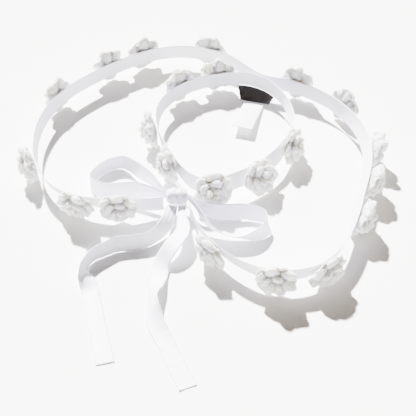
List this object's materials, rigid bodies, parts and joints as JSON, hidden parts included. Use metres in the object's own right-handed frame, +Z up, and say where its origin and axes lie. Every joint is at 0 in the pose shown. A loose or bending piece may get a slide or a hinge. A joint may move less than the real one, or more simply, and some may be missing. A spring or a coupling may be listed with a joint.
{
  "type": "flower crown",
  "caption": "Flower crown: white ribbon standing in open turns with crocheted blossoms sewn along its outer face, a tied bow with loops and tails, and sewn-in cloth labels.",
  "frame": {"origin": "middle of the overall box's base, on the surface that the crown stands on", "axes": "+Z up; -Y towards the ends of the bow's tails; +X to the right, seen from the tails"},
  "size_m": [0.3398, 0.4344, 0.0347],
  "materials": {
    "ribbon_white": "soft satin ribbon, cool white",
    "bow_white": "soft satin ribbon, cool white",
    "crochet_cream": "matt crocheted cotton, cream",
    "crochet_white": "matt crocheted cotton, warm white",
    "label_black": "woven satin, black, plain",
    "label_white": "smooth satin, white, plain"
  },
  "bodies": {
    "crown": {"band_outer_turn": "ribbon_white", "band_inner_turn": "ribbon_white", "flower_01_back": "crochet_cream", "flower_01_front": "crochet_white", "flower_02_back": "crochet_cream", "flower_02_front": "crochet_white", "flower_03_back": "crochet_cream", "flower_03_front": "crochet_white", "flower_04_back": "crochet_cream", "flower_04_front": "crochet_white", "flower_05_back": "crochet_cream", "flower_05_front": "crochet_white", "flower_06_back": "crochet_cream", "flower_06_front": "crochet_white", "flower_07_back": "crochet_cream", "flower_07_front": "crochet_white", "flower_08_back": "crochet_cream", "flower_08_front": "crochet_white", "flower_09_back": "crochet_cream", "flower_09_front": "crochet_white", "flower_10_back": "crochet_cream", "flower_10_front": "crochet_white", "flower_11_back": "crochet_cream", "flower_11_front": "crochet_white", "flower_12_back": "crochet_cream", "flower_12_front": "crochet_white", "flower_13_back": "crochet_cream", "flower_13_front": "crochet_white", "flower_14_back": "crochet_cream", "flower_14_front": "crochet_white", "flower_15_back": "crochet_cream", "flower_15_front": "crochet_white", "flower_16_back": "crochet_cream", "flower_16_front": "crochet_white", "flower_17_back": "crochet_cream", "flower_17_front": "crochet_white", "flower_18_back": "crochet_cream", "flower_18_front": "crochet_white", "flower_19_back": "crochet_cream", "flower_19_front": "crochet_white", "flower_20_back": "crochet_cream", "flower_20_front": "crochet_white", "flower_21_back": "crochet_cream", "flower_21_front": "crochet_white", "flower_22_back": "crochet_cream", "flower_22_front": "crochet_white", "bow_knot": "bow_white", "brand_label": "label_black"},
    "loop_left": {"bow_loop_left": "bow_white"},
    "loop_right": {"bow_loop_right": "bow_white"},
    "tail_left": {"bow_tail_left": "bow_white"},
    "tail_right": {"bow_tail_right": "bow_white"},
    "care": {"care_label": "label_white"}
  },
  "joints": [
    {"name": "loop_left_lift", "type": "hinge", "parent": "crown", "child": "loop_left", "pos_m": [-0.03335, -0.0152, 0.0212], "axis": [0, 1, 0], "range_deg": [0, 35]},
    {"name": "loop_right_lift", "type": "hinge", "parent": "crown", "child": "loop_right", "pos_m": [-0.01335, -0.0172, 0.0218], "axis": [0, -1, 0], "range_deg": [0, 35]},
    {"name": "tail_left_lift", "type": "hinge", "parent": "crown", "child": "tail_left", "pos_m": [-0.02735, -0.026, 0.0138], "axis": [-1, 0, 0], "range_deg": [0, 30]},
    {"name": "tail_right_lift", "type": "hinge", "parent": "crown", "child": "tail_right", "pos_m": [-0.01905, -0.026, 0.0132], "axis": [-1, 0, 0], "range_deg": [0, 30]},
    {"name": "care_label_lift", "type": "hinge", "parent": "crown", "child": "care", "pos_m": [0.0509, 0.1386, 0.002], "axis": [-0.9611, 0.276, 0], "range_deg": [-7, 75]}
  ]
}
